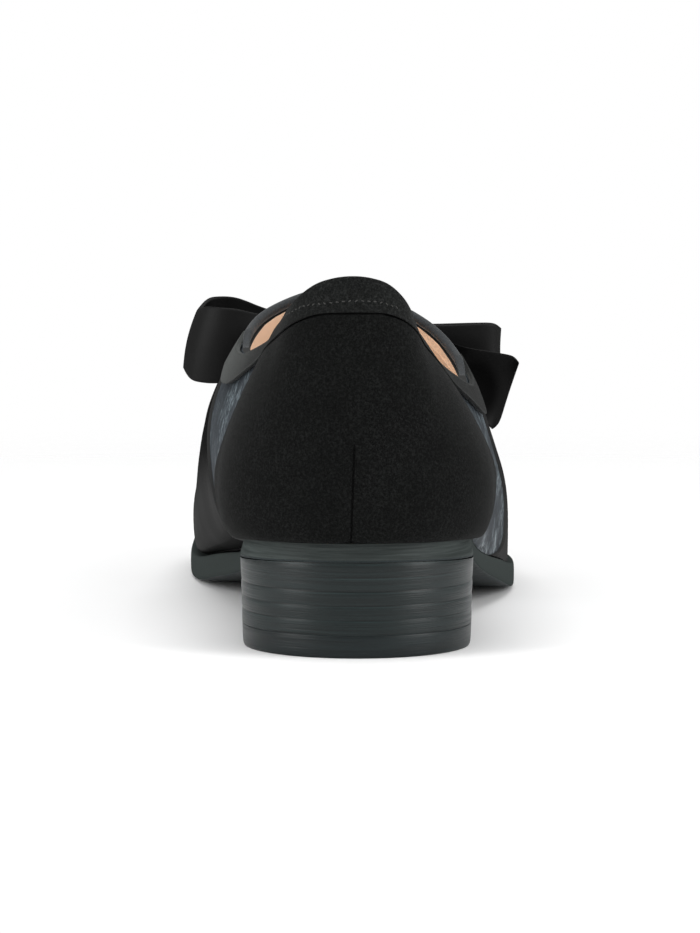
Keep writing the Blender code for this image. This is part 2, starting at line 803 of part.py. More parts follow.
def bow():
    """Knot, two loops and two tails of one satin ribbon."""
    satin = (0.012, 0.012, 0.013)
    bow_knot(satin)
    ribbon("bow_loop_medial", MEDIAL_LOOP, satin)
    ribbon("bow_loop_lateral", LATERAL_LOOP, satin)
    ribbon("bow_tail_medial", MEDIAL_TAIL, satin, steps=14)
    ribbon("bow_tail_lateral", LATERAL_TAIL, satin, steps=14, crown=TAIL_SCOOP)


def main():
    for item in list(bpy.data.objects):
        bpy.data.objects.remove(item)
    outsole()
    heel_top_piece()
    heel_block()
    insole()
    upper()
    heel_counter()
    collar_band()
    throat_binding()
    bow()


main()
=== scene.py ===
"""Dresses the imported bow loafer: suede counter, brushed quarters, satin bow and stacked heel."""
import contextlib
import json
import math
import random

import bmesh
import bpy
from bpy.props import FloatProperty, FloatVectorProperty, IntProperty, PointerProperty
from mathutils import Matrix, Quaternion, Vector
from mathutils.bvhtree import BVHTree
from mathutils.kdtree import KDTree

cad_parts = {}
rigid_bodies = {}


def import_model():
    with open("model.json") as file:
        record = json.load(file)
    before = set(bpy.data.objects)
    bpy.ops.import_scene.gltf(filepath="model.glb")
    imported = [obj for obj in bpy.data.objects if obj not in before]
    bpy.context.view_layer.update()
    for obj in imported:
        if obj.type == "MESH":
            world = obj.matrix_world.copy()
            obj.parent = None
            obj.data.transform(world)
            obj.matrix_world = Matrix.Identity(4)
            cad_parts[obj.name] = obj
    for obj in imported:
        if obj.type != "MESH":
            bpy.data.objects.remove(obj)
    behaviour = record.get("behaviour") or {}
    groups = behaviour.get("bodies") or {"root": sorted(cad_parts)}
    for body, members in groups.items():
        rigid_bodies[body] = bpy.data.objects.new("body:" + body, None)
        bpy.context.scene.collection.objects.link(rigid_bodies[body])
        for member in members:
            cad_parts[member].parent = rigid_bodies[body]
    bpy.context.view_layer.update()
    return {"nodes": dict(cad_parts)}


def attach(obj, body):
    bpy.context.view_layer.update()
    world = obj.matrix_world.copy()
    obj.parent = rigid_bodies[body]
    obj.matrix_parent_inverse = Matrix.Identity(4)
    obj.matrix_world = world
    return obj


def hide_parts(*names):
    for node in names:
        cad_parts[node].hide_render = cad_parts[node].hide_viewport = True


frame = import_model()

bl_info = {
    "name": "Bow Loafer",
    "version": (1, 0, 0),
    "blender": (4, 5, 0),
    "location": "View3D > Sidebar > Bow Loafer",
    "description": "Builds the looks of a low-heeled loafer with a satin bow over its packed frame",
    "category": "Object",
}

MM = 0.001

# Places that the shoe is measured from: x from the heel's axis, t forward from the back, z up, in mm
HEEL_AXIS = -1.25
BACK = 131.0
LEFT_SIDE, RIGHT_SIDE = 1.0, -1.0

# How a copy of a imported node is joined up: the merge distance and the angle up to which triangles pair
MERGE = 0.002 * MM
PAIRING = math.radians(40.0)

# Angles in degrees: a sharp edge, one on the tape and on the stack, the wall's lowest step, and the
# most that sheared faces are joined over
SHARP = 45.0
SHARP_TAPE = 70.0
SHARP_STACK = 80.0
STEP = 25.0
SLIVER = 65.0

# How narrow, in mm, a triangle is that takes its slot from a neighbour
NARROW = 0.9

# Angles in degrees up to which edges are shaded smooth: as a rule, on tape and thread, heel and satin
SMOOTH = 50.0
SMOOTH_SEWN = 80.0
SMOOTH_HEEL = 35.0
SMOOTH_SATIN = 70.0

# How far a face or a corner looks up, down or back, from 0 to 1, to count as doing so
FLAT = 0.7
LEVEL = 0.4
BACKWARD = 0.3

# The stations that crowd at the throat, in mm forward from the back, and how low on each side
THROAT = (112.0, 119.0)
THROAT_FOOT = (60.0, 44.0)

# The wall's underside: below a height in mm, and facing down
UNDERSIDE = 30.0
DOWN = -0.95

# One place on each face of the wall: the vamp's tip, a quarter's outside, the lining
TOE_TIP = (2.0, 300.0, 20.0)
QUARTER_SIDE = (80.0, 66.0, 60.0)
INSIDE = (4.0, 85.0, 45.0)

# The bow: its ribbons, its knot's middle, half the knot's width and the reach of a loop
RIBBONS = ("bow_loop_medial", "bow_loop_lateral", "bow_tail_medial", "bow_tail_lateral")
KNOT = (3.6, 150.0, 71.7)
KNOT_HALF = 6.6
BOW_REACH = 44.0

# Its folds: how close they stand, where along the reach they are deepest and how fast they die out;
# the knot's own folds and how they wander; how soft the edges are
PLEATS = 15.0
PLEAT_PEAK, PLEAT_SPREAD = 0.3, 0.3
KNOT_FOLDS = 3.2 * math.pi
KNOT_WANDER = (1.5, 400.0)
RIBBON_SOFTNESS, KNOT_SOFTNESS = 0.4, 0.7

# Painted shade in the lateral tail's fold, where the satin is darkened to black: its middle, and its
# reach across and up
TAIL_PAINTED_SHADE = ((-32.0, 143.0, 55.5), (7.0, 9.0))

# How far forward the suede's cut edges are rubbed lighter, partly a painted highlight, and grooved with
# painted shade, as a run of the along axis; where the rubbing and its highlight stop and where the
# groove begins and ends, in mm from the edge
SUEDE_PAINTED_EDGES = (0.096, 0.112)
RUB_AND_HIGHLIGHT = (0.15, 0.75)
GROOVE_SHADE = ((0.7, 1.0), (1.15, 1.6))

# Painted light where light falls on the collar band's front end on the inner side: where, as runs of
# the along and the across axis, how much, and to what tone
PAINTED_LIGHT_ENDS = (0.030, 0.090)
PAINTED_LIGHT_SIDE = (0.0, 0.020)
PAINTED_LIGHT_SHARE = 0.62
PAINTED_LIGHT_TONE = 5.0

# The collar band's suede is this much lighter than the counter's
COLLAR_LIFT = 1.9

# Where the quarters run under the counter and are painted dark as painted shade, as a run of the along
# axis
SHADE_UNDER_COUNTER = (0.088, 0.094)

# How far the stack and the counter close the seams with their neighbours, in mm
SEAM_CLOSING = 0.24

# Below this height, in mm, the counter's border meets the sole
FEATHER = 36.0

# Heights of the level streaks in the heel's board and in the sole's edge
HEEL_STREAK = 0.9 * MM
SOLE_STREAK = 1.6 * MM

# The board's specular level and coat at full gloss; the gloss of the heel and of the sole's matt edge
BOARD_SPECULAR = 0.38
BOARD_COAT = 0.3
GLOSSY = 0.7
MATT = 0.16

# The stack's lifts, in mm: where the lowest begins, how thick each is, where the line at its joint
# fades, how far that line wanders, and how far below it the pale line of painted highlight runs
LIFT_BASE = 5.8
LIFT = 3.5
LIFT_LINE = (0.04, 0.24)
LINE_WANDER = 0.5
HIGHLIGHT_DROP = 0.45

# The heel's front, and the bevel under the sole: how far in and how low and high it goes, in mm
BREAST = 61.0
BEVEL_REACH = 1.4
BEVEL_RISE = (0.2, 1.6)

# Heights in metres between which the heel loses gloss towards the floor, and the share left there
DULLED = (0.003, 0.026)
DULL_SHARE = 0.55

# Where the sole's edge leaves the heel and turns plain, as a run of the along axis
WAIST = (0.055, 0.085)

# Rows of stitches: the collar's and the dart's as seen from behind, the counter's as seen from the side
COLLAR_STITCHES = (
    (19.6, 80.9), (16.2, 83.4), (12.6, 85.3), (6.5, 86.2), (1.2, 86.7), (-5.1, 86.4), (-9.8, 84.9)
)
DART = ((0.6, 53.0), (1.5, 27.0))
ROWS_AHEAD = (2.0, 3.9)
COUNTER_FRONT = ((38.0, 66.0), (40.6, 60.0), (45.6, 53.0), (51.4, 46.0), (56.0, 39.0), (58.6, 32.0))

# Where the rows are cast from, in mm: behind the back, and to either side of the heel's axis
FROM_BEHIND = -20.0
FROM_BESIDE = 120.0

# How far apart stitches stand, in stitch lengths, and how far the collar's may swing, in radians
COLLAR_PITCH, DART_PITCH, ROW_PITCH = 1.35, 1.7, 1.45
COLLAR_SWING = 0.7

# A stitch's depth under its ends and its height, against its thread
STITCH_SINK = 0.9
STITCH_RISE = 0.8

# The dart's seam, darkened by painted shade, in mm: where its line fades, how far it wanders, how far
# below its top it starts; and how far round the back it reaches, as a run of the along axis
DART_LINE = (0.08, 0.36)
DART_WANDER = 0.5
DART_START = 2.0
DART_ROUND = (0.1, 0.11)

# How far the binding tape swells over the rim and how far it reaches to grip it, in mm
TAPE_SWELL = 0.3
TAPE_GRIP = 1.3

# Where the tape's ends dive under the collar band, in mm forward from the back, and how far they do
TAPE_TUCK = (97.0, 102.0)
TUCK_SHARE = 0.9

# The stage: the floor lies just under the heel, in mm, and fades out in metres; the room dims beyond
# the toe, less so higher up; softboxes have a place, a size and a power in watts
FLOOR_GAP = 0.05
FLOOR_FADE = (0.2, 0.6)
ROOM_DUSK = (-0.9, 0.2)
ROOM_RISE = 1.2
WHITE = (1.0, 1.0, 1.0, 1.0)
SENSOR = 36.0
NEAREST_SEEN = 0.01
AIM = (0.0, 0.03, 0.045)
SOFTBOXES = (
    ("left_softbox", (0.95, 0.45, 0.42), (0.55, 0.8), 6.8),
    ("right_softbox", (-0.95, 0.45, 0.42), (0.55, 0.8), 7.6),
    ("top_softbox", (0.0, 0.1, 1.2), (1.0, 1.0), 9.0),
)


def at(x, t, z):
    """A place on the shoe in the frame, in metres."""
    return Vector(((x + HEEL_AXIS) * MM, (BACK - t) * MM, z * MM))


# The dart's line across the back: its lean, where it would meet the floor, and its top
DART_LEAN = (DART[0][0] - DART[1][0]) / (DART[0][1] - DART[1][1])
DART_FOOT = at(DART[0][0] - DART_LEAN * DART[0][1], 0.0, 0.0).x
DART_TOP = DART[0][1] * MM


def distance(title, says, value):
    """A length in metres that the panel shows."""
    return FloatProperty(
        name=title, description=says, default=value, unit="LENGTH", subtype="DISTANCE"
    )


def fraction(title, says, value):
    """A share from 0 to 1 that the panel shows."""
    return FloatProperty(
        name=title, description=says, default=value, min=0.0, max=1.0, subtype="FACTOR"
    )


def colour(title, says, value):
    """A colour that the panel shows."""
    return FloatVectorProperty(
        name=title, description=says, default=value, size=3, min=0.0, max=1.0, subtype="COLOR"
    )


class LoaferSizes(bpy.types.PropertyGroup):
    """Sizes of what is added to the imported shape."""

    edge_softness: fraction("Edge softness", "How far cut edges are rounded, from crisp to soft", 0.22)
    fineness: IntProperty(
        name="Fineness", description="Subdivision levels of the curved panels", default=2, min=1, max=3
    )
    dart_depth: distance(
        "Dart depth", "Depth of the trough along the seam at the back of the counter", 0.45 * MM
    )
    dart_width: distance("Dart width", "Width of that trough on either side of its seam", 1.5 * MM)
    pleat_depth: distance(
        "Pleat depth", "Height of the folds that radiate from the bow's knot", 0.8 * MM
    )
    sole_easing: distance("Sole easing", "Width of the rounding along the sole's edges", 0.3 * MM)
    heel_easing: distance("Heel easing", "Width of the rounding along the heel's edges", 0.18 * MM)
    stitch_length: distance("Stitch length", "Length of one stitch", 1.15 * MM)
    thread: distance("Thread", "Thickness of the sewing thread", 0.32 * MM)


class LoaferColours(bpy.types.PropertyGroup):
    """Base colours of the shoe's materials."""

    suede: colour("Suede", "Counter and collar band", (0.0027, 0.0029, 0.0028))
    nap: colour("Suede nap", "Lit tips of the suede's nap", (0.0185, 0.0196, 0.0190))
    leather: colour("Leather", "Vamp", (0.0050, 0.0050, 0.0050))
    cloth_dark: colour("Cloth ground", "Ground of the brushed quarters", (0.0070, 0.0100, 0.0140))
    cloth_light: colour("Cloth strokes", "Brushed strokes of the quarters", (0.105, 0.135, 0.150))
    lining: colour("Lining", "Lining and insole", (0.88, 0.68, 0.53))
    tape: colour("Binding", "Tape bound round the throat", (0.0110, 0.0150, 0.0180))
    satin: colour("Satin", "Ribbon of the bow", (0.0038, 0.0038, 0.0038))
    sole: colour("Sole edge", "Edge of the outsole", (0.0480, 0.0560, 0.0540))
    heel: colour("Heel", "Stacked heel", (0.0064, 0.0116, 0.0118))
    rubber: colour("Top piece", "Rubber under the heel", (0.0058, 0.0100, 0.0106))
    thread: colour("Thread", "Light sewing thread", (0.055, 0.055, 0.053))
    floor: colour("Floor", "Studio floor", (0.93, 0.93, 0.93))


class LoaferStage(bpy.types.PropertyGroup):
    """Floor, light and camera."""

    floor_size: distance("Floor size", "Width of the square studio floor", 9.0)
    room_light: FloatProperty(
        name="Room light", description="Strength of the even light from all round", default=0.5, min=0.0
    )
    room_front: fraction(
        "Room front", "Share of that light that comes from the level beyond the toe", 0.2
    )
    softbox_light: FloatProperty(
        name="Softbox light", description="Share of the softboxes' full power", default=1.0, min=0.0
    )
    camera_distance: distance(
        "Camera distance", "How far behind the middle of the shoe the camera stands", 1.2259
    )
    camera_height: distance("Camera height", "Height of the camera over the floor", 0.1423)
    camera_side: distance("Camera side", "How far the camera stands to the shoe's inner side", 0.00044)
    camera_tilt: FloatProperty(
        name="Camera tilt",
        description="How far the camera looks down",
        default=math.radians(4.966),
        unit="ROTATION",
        subtype="ANGLE",
    )
    lens: FloatProperty(
        name="Lens", description="Focal length in mm on a sensor 36 mm high", default=176.7, min=1.0
    )


class Channel:
    """A node's socket in an expression: each operation adds a Math node."""

    def __init__(self, finish, socket):
        self.finish = finish
        self.socket = socket

    def maths(self, operation, first, second):
        return self.finish.node("ShaderNodeMath", {"operation": operation}, {0: first, 1: second})

    def __add__(self, other):
        return self.maths("ADD", self, other)

    def __radd__(self, other):
        return self.maths("ADD", other, self)

    def __sub__(self, other):
        return self.maths("SUBTRACT", self, other)

    def __rsub__(self, other):
        return self.maths("SUBTRACT", other, self)

    def __mul__(self, other):
        return self.maths("MULTIPLY", self, other)

    def __rmul__(self, other):
        return self.maths("MULTIPLY", other, self)


class Nodes:
    """A node tree, with its nodes added by a single method."""

    def __init__(self, tree):
        self.tree = tree

    def node(self, kind, settings=None, values=None, output=0):
        """Adds a node: its settings come first, then the values or links of its sockets."""
        made = self.tree.nodes.new(kind)
        for name, value in (settings or {}).items():
            setattr(made, name, value)
        for key, value in (values or {}).items():
            if isinstance(value, Channel):
                self.tree.links.new(value.socket, made.inputs[key])
            else:
                made.inputs[key].default_value = value
        return Channel(self, made.outputs[output])

    def between(self, value, low, high):
        """0 below low, 1 above high and smooth between them."""
        settings = {"interpolation_type": "SMOOTHSTEP"}
        return self.node("ShaderNodeMapRange", settings, {0: value, 1: low, 2: high})


class Finish(Nodes):
    """One procedural material."""

    def __init__(self, name, **constants):
        self.material = bpy.data.materials.new(name)
        self.material.use_nodes = True
        super().__init__(self.material.node_tree)
        self.shader = self.tree.nodes["Principled BSDF"]
        for socket, value in constants.items():
            self.shader.inputs[socket.replace("_", " ")].default_value = value

    def feed(self, socket, channel):
        self.tree.links.new(channel.socket, self.shader.inputs[socket])

    def place(self, repeats=1.0, turn=(0.0, 0.0, 0.0)):
        """Object coordinates, turned and scaled to a pattern's repeats per metre."""
        scale = repeats if isinstance(repeats, tuple) else (repeats,) * 3
        coordinates = self.node("ShaderNodeTexCoord", output=3)
        turned = self.node("ShaderNodeMapping", {}, {"Vector": coordinates, "Rotation": turn})
        return self.node("ShaderNodeVectorMath", {"operation": "MULTIPLY"}, {0: turned, 1: scale})

    def attribute(self, name):
        """A value that the piece's mesh carries."""
        return self.node("ShaderNodeAttribute", {"attribute_name": name}, output=2)

    def axis(self, number):
        """One Object coordinate in metres: 0 across, 1 along, 2 up."""
        coordinates = self.node("ShaderNodeTexCoord", output=3)
        return self.node("ShaderNodeSeparateXYZ", {}, {0: coordinates}, output=number)

    def noise(self, vector, scale=1.0, detail=2.0, rough=0.5):
        values = {"Vector": vector, "Scale": scale, "Detail": detail, "Roughness": rough}
        return self.node("ShaderNodeTexNoise", {}, values)

    def cells(self, vector, scale=1.0):
        """Distance to the nearest of scattered points."""
        return self.node("ShaderNodeTexVoronoi", {}, {"Vector": vector, "Scale": scale})

    def mix(self, share, first, second):
        """A colour between two colours."""
        values = {0: share, 6: rgba(first), 7: rgba(second)}
        return self.node("ShaderNodeMix", {"data_type": "RGBA"}, values, output=2)

    def relief(self, height, depth):
        """Bump of a depth in metres where height is 1."""
        values = {"Strength": 1.0, "Distance": depth, "Height": height}
        self.feed("Normal", self.node("ShaderNodeBump", {}, values))


def rgba(value):
    """A colour for a socket, or the channel as it is."""
    if isinstance(value, Channel):
        return value
    return (*value[:3], 1.0)


def shade(value, factor):
    """A colour made lighter or darker."""
    return tuple(min(1.0, part * factor) for part in value[:3])


def suede_finish(colours, name, lift, seamed, painted_light=0.0):
    """Black suede: speckled nap, clouds where it was stroked, a rubbed cut edge with a painted
    highlight; painted shade at seams, painted light at the collar's ends.
    """
    finish = Finish(name, Specular_IOR_Level=0.05, Sheen_Weight=0.045, Sheen_Roughness=0.35)
    speck = finish.noise(finish.place(3200), detail=3.0, rough=0.7)
    grit = finish.noise(finish.place(1500), detail=2.0, rough=0.6)
    cloud = finish.noise(finish.place(95), detail=2.0, rough=0.5)
    lit = finish.between(speck, 0.4, 0.72) * 0.5 + finish.between(grit, 0.42, 0.72) * 0.42
    nap = lit * (0.62 + 0.36 * finish.between(cloud, 0.25, 0.75))
    border = finish.attribute("border")
    forward = 1.0 - finish.between(finish.axis(1), SUEDE_PAINTED_EDGES[0], SUEDE_PAINTED_EDGES[1])
    # Rubbed lighter at the front cut edge, partly a painted highlight where light catches the rounded
    # border
    rubbed = forward * (1.0 - finish.between(border, RUB_AND_HIGHLIGHT[0] * MM, RUB_AND_HIGHLIGHT[1] * MM))
    ground = finish.mix(nap, shade(colours.suede, lift), shade(colours.nap, lift))
    # Painted light: the collar band's front end on the inner side is lightened where light falls on it
    if painted_light:
        ends = 1.0 - finish.between(finish.axis(1), PAINTED_LIGHT_ENDS[0], PAINTED_LIGHT_ENDS[1])
        medial = finish.between(finish.axis(0), PAINTED_LIGHT_SIDE[0], PAINTED_LIGHT_SIDE[1])
        ground = finish.mix(painted_light * ends * medial, ground, shade(colours.nap, PAINTED_LIGHT_TONE))
    ground = finish.mix(rubbed * 0.55, ground, shade(colours.nap, 2.3))
    height = 0.6 * speck + 0.4 * grit
    # Painted shade in the stitch groove along the front border and along the dart's seam
    if seamed:
        outer, inner = (finish.between(border, low * MM, high * MM) for low, high in GROOVE_SHADE)
        seam_shade = 0.7 * forward * outer * (1.0 - inner) + 0.9 * dart_line(finish)
        ground = finish.mix(finish.between(seam_shade, 0.0, 1.0), ground, shade(colours.suede, 0.3))
        height = height - 0.6 * seam_shade
    finish.feed("Base Color", ground)
    finish.feed("Roughness", 0.86 + 0.12 * speck)
    finish.relief(height, 0.22 * MM)
    return finish.material


def dart_line(finish):
    """1 on the seam of the dart, uneven as a closed seam is, and 0 away from it; it carries the seam's
    painted shade and its sunken bump.
    """
    up = finish.axis(2)
    across = finish.axis(0) - (DART_FOOT + DART_LEAN * up)
    wander = finish.noise(finish.place((0, 0, 420)), detail=2.0) - 0.5
    across = across + wander * DART_WANDER * MM
    near = 1.0 - finish.between(across * across, (DART_LINE[0] * MM) ** 2, (DART_LINE[1] * MM) ** 2)
    low = 1.0 - finish.between(up, DART_TOP - DART_START * MM, DART_TOP)
    return near * low * finish.between(finish.axis(1), DART_ROUND[0], DART_ROUND[1])


def leather_finish(colours):
    """Smooth black calf: fine pores and a soft even gloss."""
    finish = Finish("vamp_leather", Specular_IOR_Level=0.0, Coat_Roughness=0.26)
    pores = finish.cells(finish.place(1400))
    grain = finish.noise(finish.place(420), detail=4.0, rough=0.6)
    patches = finish.noise(finish.place(60), detail=1.0)
    finish.feed("Base Color", finish.mix(patches * 0.6, colours.leather, shade(colours.leather, 1.7)))
    finish.feed("Roughness", 0.34 + 0.14 * grain + 0.06 * patches)
    finish.feed("Coat Weight", 0.08 + 0.05 * patches)
    finish.relief(finish.between(pores, 0.0, 0.55) * 0.6 + grain * 0.4, 0.05 * MM)
    return finish.material


def cloth_finish(colours):
    """Brushed navy cloth: short slanting strokes with a blue-grey sheen over a dark ground."""
    finish = Finish("quarter_cloth", Specular_IOR_Level=0.2, Sheen_Weight=0.05, Sheen_Roughness=0.35)
    finish.shader.inputs["Sheen Tint"].default_value = (0.78, 0.88, 1.0, 1.0)
    slant = (math.radians(38.0), 0.0, 0.0)
    strokes = finish.noise(finish.place((900, 260, 1350), slant), detail=3.0, rough=0.62)
    blots = finish.noise(finish.place((240, 130, 240), slant), detail=2.0, rough=0.55)
    threads = finish.noise(finish.place((2600, 900, 3400), slant), detail=1.0)
    patches = finish.between(finish.noise(finish.place((75, 40, 75)), detail=2.0), 0.38, 0.62)
    lit = finish.between(strokes, 0.44, 0.62) * (0.15 + 0.9 * finish.between(blots, 0.4, 0.6))
    lit = lit * (0.3 + 1.2 * patches)
    # Painted shade: where the quarters run under the counter they are painted dark
    shaded_under_counter = finish.between(finish.axis(1), SHADE_UNDER_COUNTER[0], SHADE_UNDER_COUNTER[1])
    shown = finish.mix(lit, colours.cloth_dark, colours.cloth_light)
    finish.feed("Base Color", finish.mix(shaded_under_counter, shown, shade(colours.suede, 0.5)))
    finish.feed("Roughness", 0.62 - 0.24 * lit + 0.1 * threads)
    finish.relief(0.55 * strokes + 0.25 * blots + 0.2 * threads, 0.3 * MM)
    return finish.material


def lining_finish(colours):
    """Peach lining leather: pores, faint rubbed patches."""
    finish = Finish("peach_lining", Specular_IOR_Level=0.35)
    pores = finish.cells(finish.place(900))
    rubbed = finish.noise(finish.place(70), detail=3.0, rough=0.6)
    finish.feed("Base Color", finish.mix(rubbed * 0.5, colours.lining, shade(colours.lining, 1.22)))
    finish.feed("Roughness", 0.5 + 0.18 * rubbed)
    finish.relief(finish.between(pores, 0.0, 0.5), 0.05 * MM)
    return finish.material


def cut_edge_finish(colours):
    """The cut edge of the wall, inked dark."""
    finish = Finish("inked_edge", Specular_IOR_Level=0.3)
    fibre = finish.noise(finish.place((1600, 1600, 500)), detail=3.0, rough=0.65)
    finish.feed("Base Color", finish.mix(fibre, shade(colours.leather, 0.8), shade(colours.nap, 0.9)))
    finish.feed("Roughness", 0.6 + 0.25 * fibre)
    finish.relief(fibre, 0.1 * MM)
    return finish.material


def tape_finish(colours):
    """Woven binding tape with fine ribs across it."""
    finish = Finish("binding_tape", Specular_IOR_Level=0.4, Sheen_Weight=0.25, Sheen_Roughness=0.4)
    weave = finish.noise(finish.place((2600, 2600, 1100)), detail=2.0)
    uneven = finish.noise(finish.place(160), detail=1.0)
    tone = finish.between(weave, 0.35, 0.7) * (0.5 + 0.5 * uneven)
    finish.feed("Base Color", finish.mix(tone, shade(colours.tape, 0.5), shade(colours.tape, 1.5)))
    finish.feed("Roughness", 0.55 + 0.2 * weave)
    finish.relief(weave, 0.12 * MM)
    return finish.material


def satin_finish(colours, name, hollow=None):
    """Black satin: a fine twill that softens the gloss, with painted shade, darker and rougher, in a
    fold's hollow.
    """
    finish = Finish(name, Specular_IOR_Level=0.13, Sheen_Weight=0.025, Sheen_Roughness=0.3)
    slant = (0.0, math.radians(32.0), 0.0)
    twill = finish.noise(finish.place((900, 2600, 3600), slant), detail=1.0)
    soft = finish.noise(finish.place(110), detail=2.0)
    tone = finish.mix(soft * 0.7, shade(colours.satin, 0.75), shade(colours.satin, 1.6))
    rough = 0.42 + 0.12 * twill + 0.06 * soft
    # Painted shade: the satin turns black and rougher towards the middle of the fold's hollow
    if hollow:
        middle, reach = hollow
        across = (finish.axis(0) - at(*middle).x) * (1.0 / (reach[0] * MM))
        up = (finish.axis(2) - at(*middle).z) * (1.0 / (reach[1] * MM))
        painted_shade = 1.0 - finish.between(across * across + up * up, 0.35, 1.5)
        tone = finish.mix(painted_shade, tone, (0.0, 0.0, 0.0))
        rough = rough + 0.5 * painted_shade
    finish.feed("Base Color", tone)
    finish.feed("Roughness", rough)
    finish.relief(0.5 * twill + 0.5 * soft, 0.06 * MM)
    return finish.material


def lift_line(finish, drop):
    """1 along a wavy line at each lift of the stack, some way below its joint, and 0 elsewhere."""
    wander = finish.noise(finish.place((70, 70, 60)), detail=2.0) - 0.5
    above = finish.axis(2) + wander * LINE_WANDER * MM + (drop - LIFT_BASE) * MM
    settings = {"operation": "PINGPONG"}
    away = finish.node("ShaderNodeMath", settings, {0: above, 1: LIFT / 2 * MM})
    return 1.0 - finish.between(away, LIFT_LINE[0] * MM, LIFT_LINE[1] * MM)


def stacked(finish, ground, tone):
    """The ground of the board with its lifts' joints: a broken dark line, and a pale line of painted
    highlight under it.
    """
    breaks = finish.between(finish.noise(finish.place((85, 85, 260)), detail=3.0), 0.42, 0.6)
    # The pale line is a painted highlight along each lift's edge; the dark line marks the joint
    pale = lift_line(finish, HIGHLIGHT_DROP) * (0.25 + 0.5 * breaks)
    dark = lift_line(finish, 0.0) * (0.3 + 0.6 * breaks)
    return finish.mix(dark, finish.mix(pale, ground, shade(tone, 2.2)), shade(tone, 0.3))


def heel_finish(name, streak_height, tone, gloss, lifts=False):
    """Inked board, grey-black: level streaks, and scuffs that fade where the sole leaves the heel."""
    finish = Finish(name, Specular_IOR_Level=BOARD_SPECULAR * (gloss - MATT), Coat_Roughness=0.3)
    level = finish.noise(finish.place((26, 26, 1.0 / streak_height)), detail=4.0, rough=0.62)
    fine = finish.noise(finish.place((60, 60, 3.2 / streak_height)), detail=3.0, rough=0.6)
    scuffs = finish.noise(finish.place((130, 130, 420)), detail=5.0, rough=0.72)
    streak = 0.65 * finish.between(level, 0.36, 0.68) + 0.35 * finish.between(fine, 0.35, 0.7)
    worn = finish.between(scuffs, 0.66, 0.8)
    clean = finish.between(finish.axis(2), DULLED[0], DULLED[1])
    coat = BOARD_COAT * gloss * (DULL_SHARE + (1.0 - DULL_SHARE) * clean)
    if not lifts:
        behind = finish.between(finish.axis(1), WAIST[0], WAIST[1])
        streak = streak * (0.15 + 0.85 * behind)
        worn = worn * (0.3 + 0.7 * behind)
        coat = coat * (0.25 + 0.75 * behind)
    ground = finish.mix(streak, shade(tone, 0.62), shade(tone, 1.4))
    if lifts:
        ground = stacked(finish, ground, tone)
    else:
        ground = finish.mix(behind, shade(tone, 0.8), ground)
    finish.feed("Base Color", finish.mix(worn * 0.3, ground, shade(tone, 2.6)))
    finish.feed("Roughness", 0.36 + 0.14 * streak + 0.18 * worn)
    finish.feed("Coat Weight", coat - 0.05 * worn)
    finish.relief(0.7 * streak + 0.3 * worn, 0.1 * MM)
    return finish.material


def tread_finish(colours):
    """The underside: fine moulded rubber, a little greyed where it meets the floor."""
    finish = Finish("sole_tread", Specular_IOR_Level=0.35)
    pebble = finish.cells(finish.place(620))
    dust = finish.noise(finish.place(48), detail=4.0, rough=0.65)
    finish.feed("Base Color", finish.mix(dust, shade(colours.rubber, 0.7), shade(colours.rubber, 2.2)))
    finish.feed("Roughness", 0.6 + 0.25 * dust)
    finish.relief(finish.between(pebble, 0.1, 0.6), 0.12 * MM)
    return finish.material


def thread_finish(name, tone):
    """Twisted sewing thread."""
    finish = Finish(name, Specular_IOR_Level=0.05, Sheen_Weight=0.01)
    ply = finish.noise(finish.place(4200), detail=1.0)
    finish.feed("Base Color", finish.mix(ply, shade(tone, 0.45), shade(tone, 1.5)))
    finish.feed("Roughness", 0.6 + 0.2 * ply)
    finish.relief(ply, 0.08 * MM)
    return finish.material


def floor_finish(colours):
    """Plain matt studio floor."""
    finish = Finish("studio_floor", Specular_IOR_Level=0.15)
    paper = finish.noise(finish.place(12), detail=2.0)
    finish.feed("Base Color", finish.mix(paper, shade(colours.floor, 0.985), colours.floor))
    finish.feed("Roughness", 0.8 + 0.1 * paper)
    away = finish.node("ShaderNodeVectorMath", {"operation": "LENGTH"}, {0: finish.place()}, output=1)
    finish.feed("Alpha", 1.0 - finish.between(away, FLOOR_FADE[0], FLOOR_FADE[1]))
    return finish.material


def settings(context):
    """The sizes and colours that the panel shows."""
    return context.scene.loafer_sizes, context.scene.loafer_colours


def alone(piece):
    """Makes a piece the only selected object and the active one."""
    bpy.ops.object.select_all(action="DESELECT")
    piece.select_set(True)
    bpy.context.view_layer.objects.active = piece


@contextlib.contextmanager
def editing(piece, element):
    """Edit mode on one piece, with none of its elements selected."""
    alone(piece)
    bpy.ops.object.mode_set(mode="EDIT")
    bpy.ops.mesh.select_mode(type=element)
    bpy.ops.mesh.select_all(action="DESELECT")
    yield
    bpy.ops.object.mode_set(mode="OBJECT")


def copied(node, name):
    """A copy of a CAD node as one closed skin, with its triangles paired to quads."""
    mesh = frame["nodes"][node].data.copy()
    mesh.materials.clear()
    piece = bpy.data.objects.new(name, mesh)
    bpy.context.scene.collection.objects.link(piece)
    alone(piece)
    bpy.ops.mesh.customdata_custom_splitnormals_clear()
    with editing(piece, "FACE"):
        bpy.ops.mesh.select_all(action="SELECT")
        bpy.ops.mesh.remove_doubles(threshold=MERGE)
        bpy.ops.mesh.tris_convert_to_quads(face_threshold=PAIRING, shape_threshold=math.pi)
    return piece


def chosen(piece, wanted):
    """Selects the faces for which wanted holds, in edit mode."""
    bpy.ops.object.mode_set(mode="OBJECT")
    for face in piece.data.polygons:
        face.select = wanted(face)
    bpy.ops.object.mode_set(mode="EDIT")


